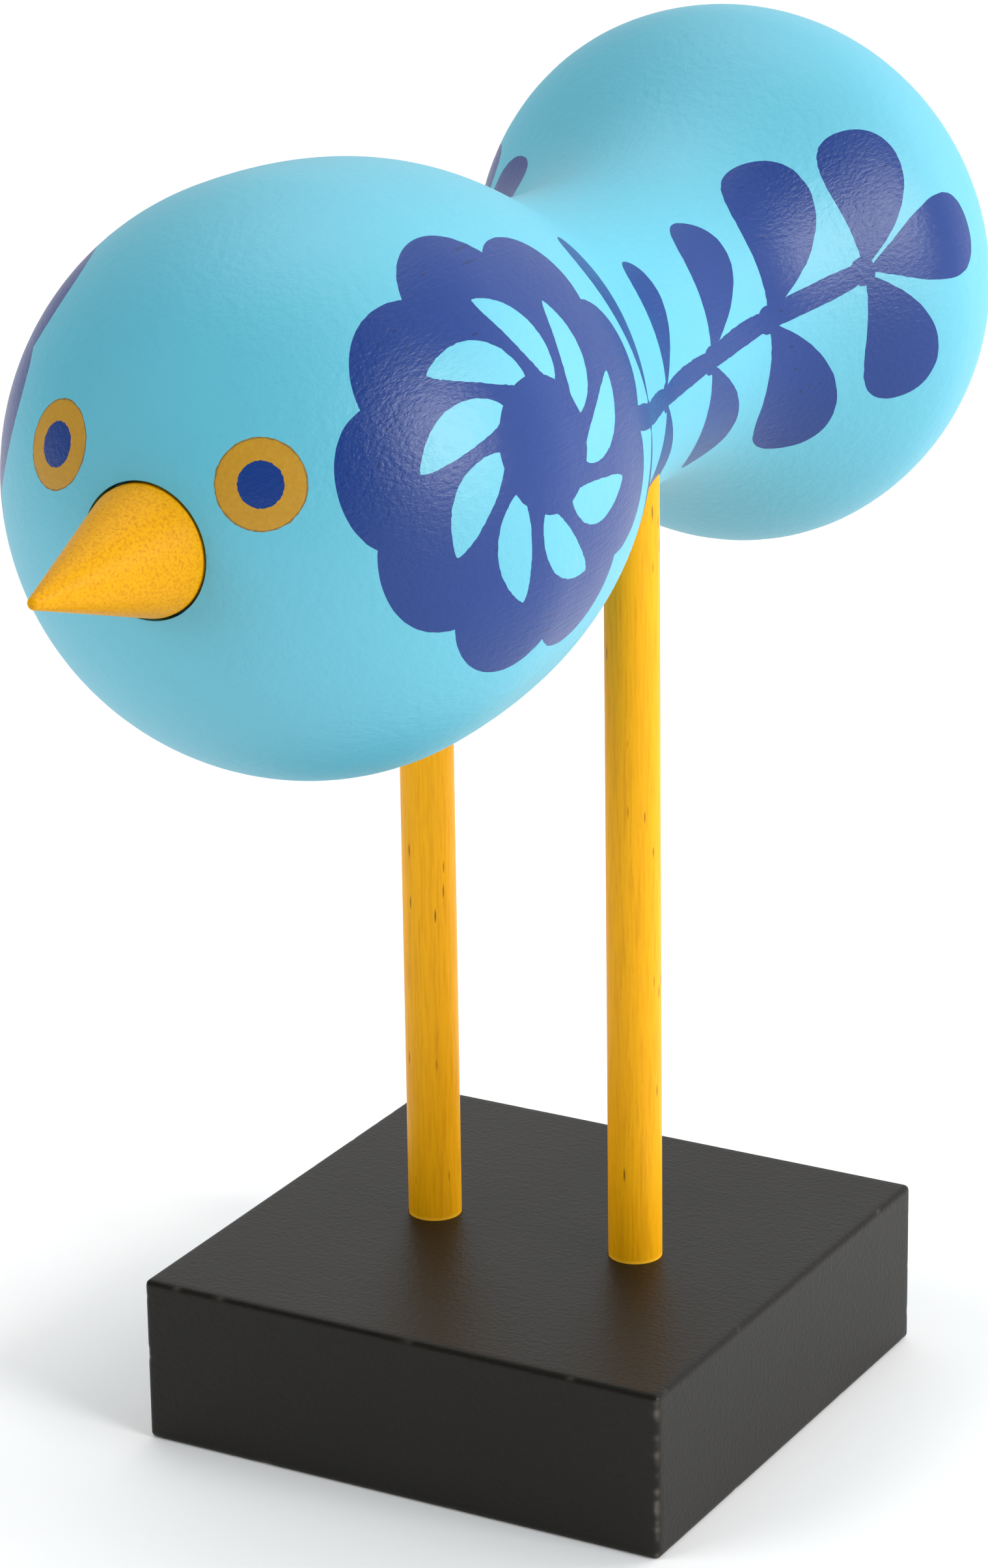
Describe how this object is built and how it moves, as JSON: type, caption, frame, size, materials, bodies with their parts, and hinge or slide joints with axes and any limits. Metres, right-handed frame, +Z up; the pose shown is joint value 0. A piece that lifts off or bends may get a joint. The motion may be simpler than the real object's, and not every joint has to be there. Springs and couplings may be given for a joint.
{
  "type": "turned wooden bird on a block base",
  "caption": "Painted wooden bird figure: a round waisted body lying level, with a cone beak, on two dowel legs in a square block base.",
  "frame": {"origin": "centre of the base's underside", "axes": "+Z up, beak towards -Y, tail towards +Y, the two legs side by side along X"},
  "size_m": [0.085, 0.2195, 0.1987],
  "materials": {
    "blue_paint": "satin light blue paint on turned wood",
    "navy_print": "satin navy print on painted wood",
    "ochre_paint": "matt ochre paint ring on painted wood",
    "beak_paint": "satin yellow stain on turned wood, with fine dark specks",
    "leg_paint": "satin yellow stain on wooden dowel, with small dark pores",
    "black_paint": "satin black paint on a sawn wooden block"
  },
  "bodies": {
    "root": {"base_block": "black_paint", "left_leg": "leg_paint", "right_leg": "leg_paint", "body": "blue_paint", "beak": "beak_paint"}
  },
  "joints": []
}
